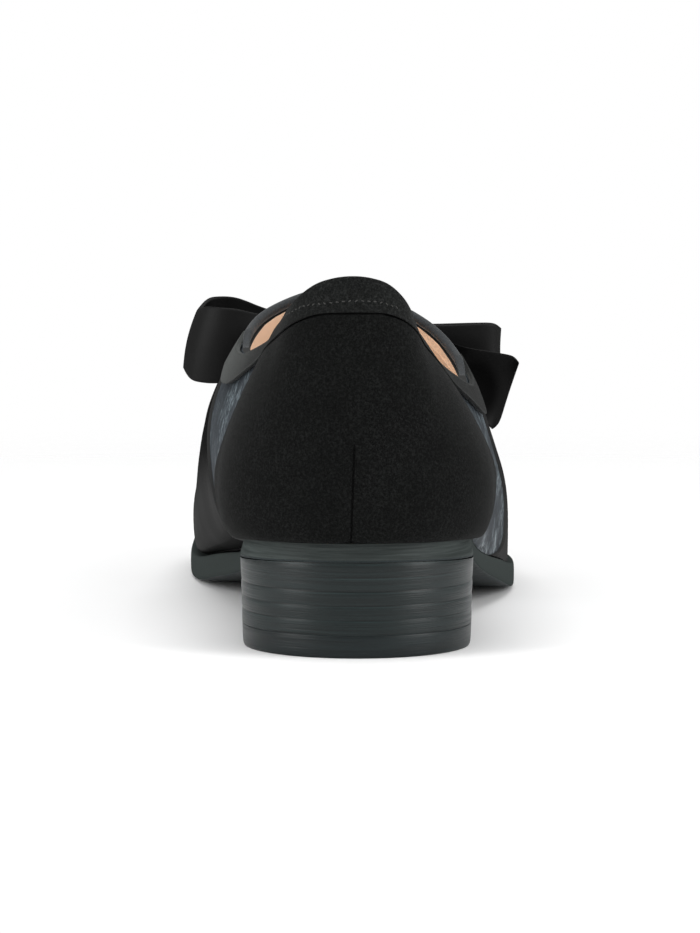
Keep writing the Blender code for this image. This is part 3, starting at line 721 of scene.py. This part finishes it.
def crowded(face):
    """Whether a face lies between the throat's crowded stations, clear of the vamp's step."""
    foot = THROAT_FOOT[0] if face.center.x < 0.0 else THROAT_FOOT[1]
    front, back = (at(0.0, station, 0.0).y for station in reversed(THROAT))
    return front < face.center.y < back and face.center.z > foot * MM


def underneath(face):
    """Whether a face lies on the sole."""
    return face.normal.z < DOWN and face.center.z < UNDERSIDE * MM


def rejoined(piece, wanted):
    """Joins narrow sheared faces anew, each to its nearest neighbour."""
    with editing(piece, "FACE"):
        chosen(piece, wanted)
        bpy.ops.mesh.quads_convert_to_tris()
        bpy.ops.mesh.beautify_fill(angle_limit=math.radians(SLIVER))
        bpy.ops.mesh.tris_convert_to_quads(face_threshold=PAIRING, shape_threshold=math.pi)


def marked_sharp(piece, angle):
    """Marks the edges that turn more than an angle, and those round the underside."""
    with editing(piece, "EDGE"):
        bpy.ops.mesh.edges_select_sharp(sharpness=math.radians(angle))
        bpy.ops.mesh.mark_sharp()
    with editing(piece, "FACE"):
        chosen(piece, underneath)
        bpy.ops.mesh.region_to_loop()
        bpy.ops.mesh.mark_sharp()


def painted_region(piece, seed, slot):
    """Gives a material slot to the faces round the one nearest to seed, as far as the sharp edges."""
    mesh = piece.data
    nearest = min(mesh.polygons, key=lambda face: (face.center - seed).length)
    number = nearest.index
    with editing(piece, "FACE"):
        chosen(piece, lambda face: face.index == number)
        bpy.ops.mesh.select_linked(delimit={"SHARP"})
        piece.active_material_index = slot
        bpy.ops.object.material_slot_assign()


def filled(piece, width):
    """Gives each narrow triangle that no region took a slot from beside it."""
    net = bmesh.new()
    net.from_mesh(piece.data)
    for face in net.faces:
        longest = max(face.edges, key=lambda edge: edge.calc_length())
        narrow = len(face.edges) == 3 and 2.0 * face.calc_area() < width * longest.calc_length()
        if narrow and face.material_index == 0:
            near = [other.material_index for edge in face.edges for other in edge.link_faces]
            face.material_index = max(near)
    net.to_mesh(piece.data)
    net.free()


def refined(piece, levels, softness, angle=SHARP):
    """Subdivides a cage and holds its sharp edges by a crease."""
    with editing(piece, "EDGE"):
        bpy.ops.mesh.edges_select_sharp(sharpness=math.radians(angle))
        bpy.ops.transform.edge_crease(value=1.0 - softness)
    subdivision = piece.modifiers.new("subdivision", "SUBSURF")
    subdivision.levels = levels
    subdivision.render_levels = levels
    alone(piece)
    bpy.ops.object.modifier_apply(modifier=subdivision.name)


def met(border):
    """Brings a border's upper and lower faces close to the pieces that they meet."""
    normals = [vertex.normal.z for vertex in border]
    for vertex, up in zip(border, normals):
        if abs(up) > LEVEL:
            vertex.co.z += math.copysign(SEAM_CLOSING * MM, up)


def eased(piece, width, angle=SHARP):
    """Rounds off sharp edges by a narrow bevel."""
    bevel = piece.modifiers.new("bevel", "BEVEL")
    bevel.width = width
    bevel.segments = 2
    bevel.limit_method = "ANGLE"
    bevel.angle_limit = math.radians(angle)
    alone(piece)
    bpy.ops.object.modifier_apply(modifier=bevel.name)


def finished(piece, slot, angle=SMOOTH, added=False):
    """Smooth shading, the piece's place in the frame and, unless the piece is added, its imported node
    hidden.
    """
    alone(piece)
    bpy.ops.object.shade_smooth_by_angle(angle=math.radians(angle))
    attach(piece, "root")
    if not added:
        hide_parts(slot)


def cut_edges(piece, spacing=0.4 * MM):
    """Points close together along the sharp edges of a panel."""
    mesh = piece.data
    build = bmesh.new()
    build.from_mesh(mesh)
    points = []
    for edge in build.edges:
        if len(edge.link_faces) == 2 and edge.calc_face_angle() > math.radians(SHARP):
            first, last = (corner.co for corner in edge.verts)
            count = max(1, round((last - first).length / spacing))
            points += [first.lerp(last, i / count) for i in range(count)]
    build.free()
    return points


def with_normals(piece):
    """Each vertex, with its normal as it was before any vertex moved."""
    normals = [vertex.normal.copy() for vertex in piece.data.vertices]
    return zip(piece.data.vertices, normals)


def note_distance(piece, name, points):
    """Keeps each vertex's distance from some points as an attribute of the mesh."""
    tree = KDTree(len(points))
    for i, point in enumerate(points):
        tree.insert(point, i)
    tree.balance()
    layer = piece.data.attributes.new(name, "FLOAT", "POINT")
    layer.data.foreach_set("value", [tree.find(vertex.co)[2] for vertex in piece.data.vertices])


def along(route, count=60):
    """Points along a drawn route, on a smooth curve through its corners."""
    corners = [Vector(corner) for corner in route]
    ends = [2 * corners[0] - corners[1]] + corners + [2 * corners[-1] - corners[-2]]
    points = []
    for before, first, second, after in zip(ends, ends[1:], ends[2:], ends[3:]):
        for i in range(count):
            u = i / count
            smooth = (
                2 * first
                + (second - before) * u
                + (2 * before - 5 * first + 4 * second - after) * u**2
                + (3 * first - before - 3 * second + after) * u**3
            )
            points.append(smooth / 2)
    return points + [corners[-1]]


def cast(piece, starts, ahead):
    """Places and normals where rays from some starts meet a piece."""
    tree = BVHTree.FromObject(piece, bpy.context.evaluated_depsgraph_get())
    hits = [tree.ray_cast(start, ahead)[:2] for start in starts]
    return [hit for hit in hits if hit[0] is not None]


def spaced(hits, pitch, unruly=0.0):
    """Every pitch along a cast route: place, normal and direction, which may swing to either side."""
    spots = []
    run = pitch / 2
    chance = random.Random(len(hits))
    for (first, normal), (second, _) in zip(hits, hits[1:]):
        run += (second - first).length
        if run >= pitch and (second - first).length < pitch:
            run -= pitch
            ahead = (second - first).normalized()
            ahead.rotate(Quaternion(normal, unruly * chance.uniform(-1.0, 1.0)))
            spots.append((first, normal, ahead))
    return spots


def stitch_shape(length, thread):
    """One stitch along x, its ends drawn down into the holes."""
    bpy.ops.object.select_all(action="DESELECT")
    turn = (0.0, math.pi / 2, 0.0)
    bpy.ops.mesh.primitive_uv_sphere_add(segments=8, ring_count=6, radius=0.5, rotation=turn)
    shape = bpy.context.object
    bpy.ops.object.transform_apply(location=True, rotation=True, scale=True)
    for vertex in shape.data.vertices:
        x, y, z = vertex.co
        sunk = STITCH_SINK * thread * (2 * x) ** 4
        vertex.co = (x * length, y * thread, z * thread * STITCH_RISE - sunk)
    return shape


def stitched(name, spots, shape, material, slot):
    """Copies of a stitch along a row, joined as one piece."""
    if not spots:
        raise RuntimeError(f"the row {name} met no surface")
    bpy.ops.object.select_all(action="DESELECT")
    for place, normal, ahead in spots:
        aside = normal.cross(ahead).normalized()
        turn = Matrix((ahead, aside, ahead.cross(aside))).transposed().to_4x4()
        mesh = shape.data.copy()
        mesh.transform(Matrix.Translation(place) @ turn)
        copy = bpy.data.objects.new(name, mesh)
        bpy.context.scene.collection.objects.link(copy)
        copy.select_set(True)
        bpy.context.view_layer.objects.active = copy
    bpy.ops.object.join()
    row = bpy.context.object
    row.name = name
    row.data.materials.append(material)
    finished(row, slot, angle=SMOOTH_SEWN, added=True)


class LOAFER_OT_upper(bpy.types.Operator):
    """Dress the wall: leather vamp, brushed quarters, peach lining and inked edges"""

    bl_idname = "loafer.upper"
    bl_label = "Upper"

    def execute(self, context):
        sizes, colours = settings(context)
        piece = copied("upper", "upper_wall")
        for finish in (cut_edge_finish, leather_finish, cloth_finish, lining_finish):
            piece.data.materials.append(finish(colours))
        rejoined(piece, crowded)
        marked_sharp(piece, STEP)
        painted_region(piece, at(*TOE_TIP), 1)
        painted_region(piece, at(*QUARTER_SIDE), 2)
        painted_region(piece, at(*INSIDE), 3)
        filled(piece, NARROW * MM)
        refined(piece, sizes.fineness, sizes.edge_softness)
        finished(piece, "upper")
        return {"FINISHED"}


class LOAFER_OT_counter(bpy.types.Operator):
    """Dress the suede panel round the heel, with the dart down its back"""

    bl_idname = "loafer.counter"
    bl_label = "Heel counter"

    def execute(self, context):
        sizes, colours = settings(context)
        piece = copied("heel_counter", "counter_panel")
        edges = cut_edges(piece)
        met([vertex for vertex in piece.data.vertices if vertex.co.z < FEATHER * MM])
        refined(piece, sizes.fineness + 1, sizes.edge_softness)
        note_distance(piece, "border", edges)
        self.sink(piece, sizes)
        piece.data.materials.append(suede_finish(colours, "counter_suede", 1.0, True))
        finished(piece, "heel_counter")
        return {"FINISHED"}

    @staticmethod
    def sink(piece, sizes):
        """Draws the outer face in along the dart."""
        for vertex, normal in with_normals(piece):
            x, _, z = vertex.co
            across = (x - DART_FOOT - DART_LEAN * z) / sizes.dart_width
            over = max(0.0, z - DART_TOP) / sizes.dart_width
            if normal.y > BACKWARD:
                vertex.co -= normal * sizes.dart_depth * math.exp(-across * across - over * over)


class LOAFER_OT_collar(bpy.types.Operator):
    """Dress the suede band along the top line"""

    bl_idname = "loafer.collar"
    bl_label = "Collar band"

    def execute(self, context):
        sizes, colours = settings(context)
        piece = copied("collar_band", "collar_strip")
        edges = cut_edges(piece)
        refined(piece, sizes.fineness + 1, sizes.edge_softness)
        note_distance(piece, "border", edges)
        suede = suede_finish(colours, "collar_suede", COLLAR_LIFT, False, PAINTED_LIGHT_SHARE)
        piece.data.materials.append(suede)
        finished(piece, "collar_band")
        return {"FINISHED"}


class LOAFER_OT_binding(bpy.types.Operator):
    """Dress the woven tape that binds the throat"""

    bl_idname = "loafer.binding"
    bl_label = "Throat binding"

    def execute(self, context):
        sizes, colours = settings(context)
        piece = copied("throat_binding", "throat_tape")
        refined(piece, sizes.fineness, sizes.edge_softness, angle=SHARP_TAPE)
        self.seat(piece, bpy.data.objects["upper_wall"])
        piece.data.materials.append(tape_finish(colours))
        finished(piece, "throat_binding", angle=SMOOTH_SEWN)
        return {"FINISHED"}

    @staticmethod
    def seat(piece, wall):
        """Swells the tape over the rim, and presses its underside on it."""
        tree = BVHTree.FromObject(wall, bpy.context.evaluated_depsgraph_get())
        end = at(0.0, TAPE_TUCK[1], 0.0).y
        run = (TAPE_TUCK[1] - TAPE_TUCK[0]) * MM
        for vertex, normal in with_normals(piece):
            vertex.co += normal * TAPE_SWELL * MM
            rim, _, _, gap = tree.find_nearest(vertex.co)
            share = (TAPE_GRIP - gap / MM) / (TAPE_GRIP - TAPE_SWELL)
            tuck = TUCK_SHARE * (vertex.co.y - end) / run
            vertex.co = vertex.co.lerp(rim, min(1.0, max(0.0, share, tuck)))


class LOAFER_OT_sole(bpy.types.Operator):
    """Dress the outsole and the insole"""

    bl_idname = "loafer.sole"
    bl_label = "Outsole and insole"

    def execute(self, context):
        sizes, colours = settings(context)
        sole = copied("outsole", "sole_slab")
        edge = heel_finish("sole_edge", SOLE_STREAK, colours.sole, MATT)
        sole.data.materials.append(edge)
        sole.data.materials.append(tread_finish(colours))
        for face in sole.data.polygons:
            face.material_index = 1 if face.normal.z < -FLAT else 0
        self.square(sole)
        refined(sole, sizes.fineness, 0.0)
        eased(sole, sizes.sole_easing)
        finished(sole, "outsole")
        sock = copied("insole", "insole_sock")
        sock.data.materials.append(lining_finish(colours))
        sock.data.materials.append(cut_edge_finish(colours))
        for face in sock.data.polygons:
            face.material_index = 0 if face.normal.z > FLAT else 1
        refined(sock, sizes.fineness, sizes.edge_softness)
        finished(sock, "insole")
        return {"FINISHED"}

    @staticmethod
    def square(sole):
        """Fills out the sole's lower edge over the heel, where it runs flush with the stack."""
        heel = [vertex for vertex in sole.data.vertices if vertex.co.y > at(0.0, BREAST, 0.0).y]
        low, high = (rise * MM for rise in BEVEL_RISE)
        for vertex in heel:
            over = [other.co for other in heel if low < other.co.z - vertex.co.z < high]
            near = [place for place in over if (place.xy - vertex.co.xy).length < BEVEL_REACH * MM]
            if near:
                vertex.co.xy = max(near, key=lambda place: place.z).xy


class LOAFER_OT_heel(bpy.types.Operator):
    """Dress the stacked heel and its rubber top piece"""

    bl_idname = "loafer.heel"
    bl_label = "Heel"

    def execute(self, context):
        sizes, colours = settings(context)
        block = copied("heel_block", "heel_stack")
        board = heel_finish("heel_board", HEEL_STREAK, colours.heel, GLOSSY, lifts=True)
        block.data.materials.append(board)
        met(block.data.vertices)
        refined(block, sizes.fineness, 0.0, angle=SHARP_STACK)
        eased(block, sizes.heel_easing, angle=SHARP_STACK)
        finished(block, "heel_block", angle=SMOOTH_HEEL)
        tip = copied("heel_top_piece", "heel_tip")
        tip.data.materials.append(heel_finish("heel_rubber", SOLE_STREAK, colours.rubber, GLOSSY))
        refined(tip, sizes.fineness, 0.0)
        eased(tip, sizes.heel_easing)
        finished(tip, "heel_top_piece", angle=SMOOTH_HEEL)
        return {"FINISHED"}


class LOAFER_OT_bow(bpy.types.Operator):
    """Dress the satin bow: loops, tails and the knot that gathers them"""

    bl_idname = "loafer.bow"
    bl_label = "Bow"

    def execute(self, context):
        sizes, colours = settings(context)
        satin = satin_finish(colours, "bow_satin")
        shaded_satin = satin_finish(colours, "bow_satin_painted_shade", TAIL_PAINTED_SHADE)
        for phase, node in enumerate(RIBBONS):
            piece = copied(node, node.replace("bow", "satin"))
            refined(piece, sizes.fineness + 1, RIBBON_SOFTNESS)
            self.pleat(piece, sizes.pleat_depth, phase)
            piece.data.materials.append(shaded_satin if node == "bow_tail_lateral" else satin)
            finished(piece, node, angle=SMOOTH_SATIN)
        knot = copied("bow_knot", "satin_knot")
        refined(knot, sizes.fineness + 1, KNOT_SOFTNESS)
        self.gather(knot, sizes.pleat_depth)
        knot.data.materials.append(satin)
        finished(knot, "bow_knot", angle=SMOOTH_SATIN)
        return {"FINISHED"}

    @staticmethod
    def pleat(piece, depth, phase):
        """Raises folds that radiate from the knot and die out towards the ribbon's end."""
        middle = at(*KNOT)
        for vertex in piece.data.vertices:
            away = vertex.co - middle
            share = abs(away.x) / (BOW_REACH * MM)
            strength = math.exp(-(((share - PLEAT_PEAK) / PLEAT_SPREAD) ** 2))
            slope = math.atan2(away.z, abs(away.x))
            vertex.co.y += depth * strength * math.cos(PLEATS * slope + phase)

    @staticmethod
    def gather(knot, depth):
        """Draws the knot's band into folds that run round it."""
        middle = at(*KNOT)
        for vertex, normal in with_normals(knot):
            across = (vertex.co.x - middle.x) / (KNOT_HALF * MM)
            wander = KNOT_WANDER[0] * math.sin(KNOT_WANDER[1] * vertex.co.z)
            wave = math.cos(KNOT_FOLDS * across + wander)
            vertex.co -= normal * depth * 0.5 * (1.0 - wave) * max(0.0, 1.0 - across * across)


class LOAFER_OT_stitches(bpy.types.Operator):
    """Sew the collar's row, the dart's row and the double rows before the counter"""

    bl_idname = "loafer.stitches"
    bl_label = "Stitches"

    def execute(self, context):
        sizes, colours = settings(context)
        collar = bpy.data.objects["collar_strip"]
        counter = bpy.data.objects["counter_panel"]
        wall = bpy.data.objects["upper_wall"]
        pale = thread_finish("pale_thread", colours.thread)
        dark = thread_finish("dark_thread", shade(colours.suede, 0.5))
        forward = Vector((0.0, -1.0, 0.0))
        shape = stitch_shape(sizes.stitch_length, sizes.thread)
        starts = [at(x, FROM_BEHIND, z) for x, z in along(COLLAR_STITCHES)]
        hits = cast(collar, starts, forward)
        row = spaced(hits, sizes.stitch_length * COLLAR_PITCH, unruly=COLLAR_SWING)
        stitched("collar_stitches", row, shape, pale, "collar_band")
        starts = [at(x, FROM_BEHIND, z) for x, z in along(DART)]
        row = spaced(cast(counter, starts, forward), sizes.stitch_length * DART_PITCH)
        stitched("dart_stitches", row, shape, dark, "heel_counter")
        for side, name in ((LEFT_SIDE, "left"), (RIGHT_SIDE, "right")):
            for number, ahead in enumerate(ROWS_AHEAD):
                starts = [at(side * FROM_BESIDE, t + ahead, z) for t, z in along(COUNTER_FRONT)]
                hits = cast(wall, starts, Vector((-side, 0.0, 0.0)))
                row = spaced(hits, sizes.stitch_length * ROW_PITCH)
                stitched(f"quarter_stitches_{name}_{number}", row, shape, dark, "upper")
        bpy.data.objects.remove(shape)
        return {"FINISHED"}


class LOAFER_OT_stage(bpy.types.Operator):
    """Set the floor, the soft studio light and the camera behind the shoe"""

    bl_idname = "loafer.stage"
    bl_label = "Stage"

    def execute(self, context):
        stage = context.scene.loafer_stage
        bpy.ops.object.select_all(action="DESELECT")
        bpy.ops.mesh.primitive_plane_add(size=stage.floor_size, location=(0.0, 0.0, -FLOOR_GAP * MM))
        floor = bpy.context.object
        floor.name = "floor"
        bpy.ops.object.transform_apply(location=True, rotation=True, scale=True)
        floor.data.materials.append(floor_finish(context.scene.loafer_colours))
        self.light(context, stage)
        self.camera(context, stage)
        return {"FINISHED"}

    @staticmethod
    def light(context, stage):
        """A white room, dimmer beyond the toe, with a softbox on either side and one overhead."""
        room = bpy.data.worlds.new("white_room")
        room.use_nodes = True
        sky = Nodes(room.node_tree)
        toward = sky.node("ShaderNodeTexCoord")
        back, up = (sky.node("ShaderNodeSeparateXYZ", {}, {0: toward}, output=n) for n in (1, 2))
        open_room = sky.between(back + ROOM_RISE * up, *ROOM_DUSK)
        strength = stage.room_light * (stage.room_front + (1.0 - stage.room_front) * open_room)
        lit = sky.node("ShaderNodeBackground", {}, {"Color": WHITE, "Strength": strength})
        backdrop = sky.node("ShaderNodeBackground", {}, {"Color": WHITE, "Strength": 1.0})
        seen = sky.node("ShaderNodeLightPath")
        both = sky.node("ShaderNodeMixShader", {}, {0: seen, 1: lit, 2: backdrop})
        sky.tree.links.new(both.socket, sky.tree.nodes["World Output"].inputs[0])
        context.scene.world = room
        context.scene.view_settings.view_transform = "Standard"
        for name, place, size, power in SOFTBOXES:
            bpy.ops.object.light_add(type="AREA", location=place)
            lamp = bpy.context.object
            lamp.name = name
            lamp.rotation_euler = (Vector(AIM) - Vector(place)).to_track_quat("-Z", "Y").to_euler()
            lamp.data.shape = "RECTANGLE"
            lamp.data.size, lamp.data.size_y = size
            lamp.data.energy = power * stage.softbox_light

    @staticmethod
    def camera(context, stage):
        """Looks at the shoe's back, a little from above."""
        turn = (math.pi / 2 - stage.camera_tilt, 0.0, math.pi)
        place = (stage.camera_side, stage.camera_distance, stage.camera_height)
        bpy.ops.object.camera_add(location=place, rotation=turn)
        camera = bpy.context.object
        camera.data.sensor_fit = "VERTICAL"
        camera.data.sensor_height = SENSOR
        camera.data.lens = stage.lens
        camera.data.clip_start = NEAREST_SEEN
        context.scene.camera = camera


class LOAFER_PT_panel(bpy.types.Panel):
    """Sizes, colours and pieces of the loafer"""

    bl_idname = "LOAFER_PT_panel"
    bl_label = "Bow Loafer"
    bl_space_type = "VIEW_3D"
    bl_region_type = "UI"
    bl_category = "Bow Loafer"

    def draw(self, context):
        scene = context.scene
        for group in (scene.loafer_sizes, scene.loafer_colours, scene.loafer_stage):
            box = self.layout.box()
            for name in group.__annotations__:
                box.prop(group, name)
        for operator in OPERATORS:
            self.layout.operator(operator.bl_idname)


OPERATORS = (
    LOAFER_OT_upper,
    LOAFER_OT_counter,
    LOAFER_OT_collar,
    LOAFER_OT_binding,
    LOAFER_OT_sole,
    LOAFER_OT_heel,
    LOAFER_OT_bow,
    LOAFER_OT_stitches,
    LOAFER_OT_stage,
)
CLASSES = (LoaferSizes, LoaferColours, LoaferStage, *OPERATORS, LOAFER_PT_panel)


def register():
    for item in CLASSES:
        bpy.utils.register_class(item)
    bpy.types.Scene.loafer_sizes = PointerProperty(type=LoaferSizes)
    bpy.types.Scene.loafer_colours = PointerProperty(type=LoaferColours)
    bpy.types.Scene.loafer_stage = PointerProperty(type=LoaferStage)


def unregister():
    del bpy.types.Scene.loafer_stage
    del bpy.types.Scene.loafer_colours
    del bpy.types.Scene.loafer_sizes
    for item in reversed(CLASSES):
        bpy.utils.unregister_class(item)


def main():
    register()
    bpy.ops.loafer.upper()
    bpy.ops.loafer.counter()
    bpy.ops.loafer.collar()
    bpy.ops.loafer.binding()
    bpy.ops.loafer.sole()
    bpy.ops.loafer.heel()
    bpy.ops.loafer.bow()
    bpy.ops.loafer.stitches()
    bpy.ops.loafer.stage()


if __name__ == "__main__":
    main()
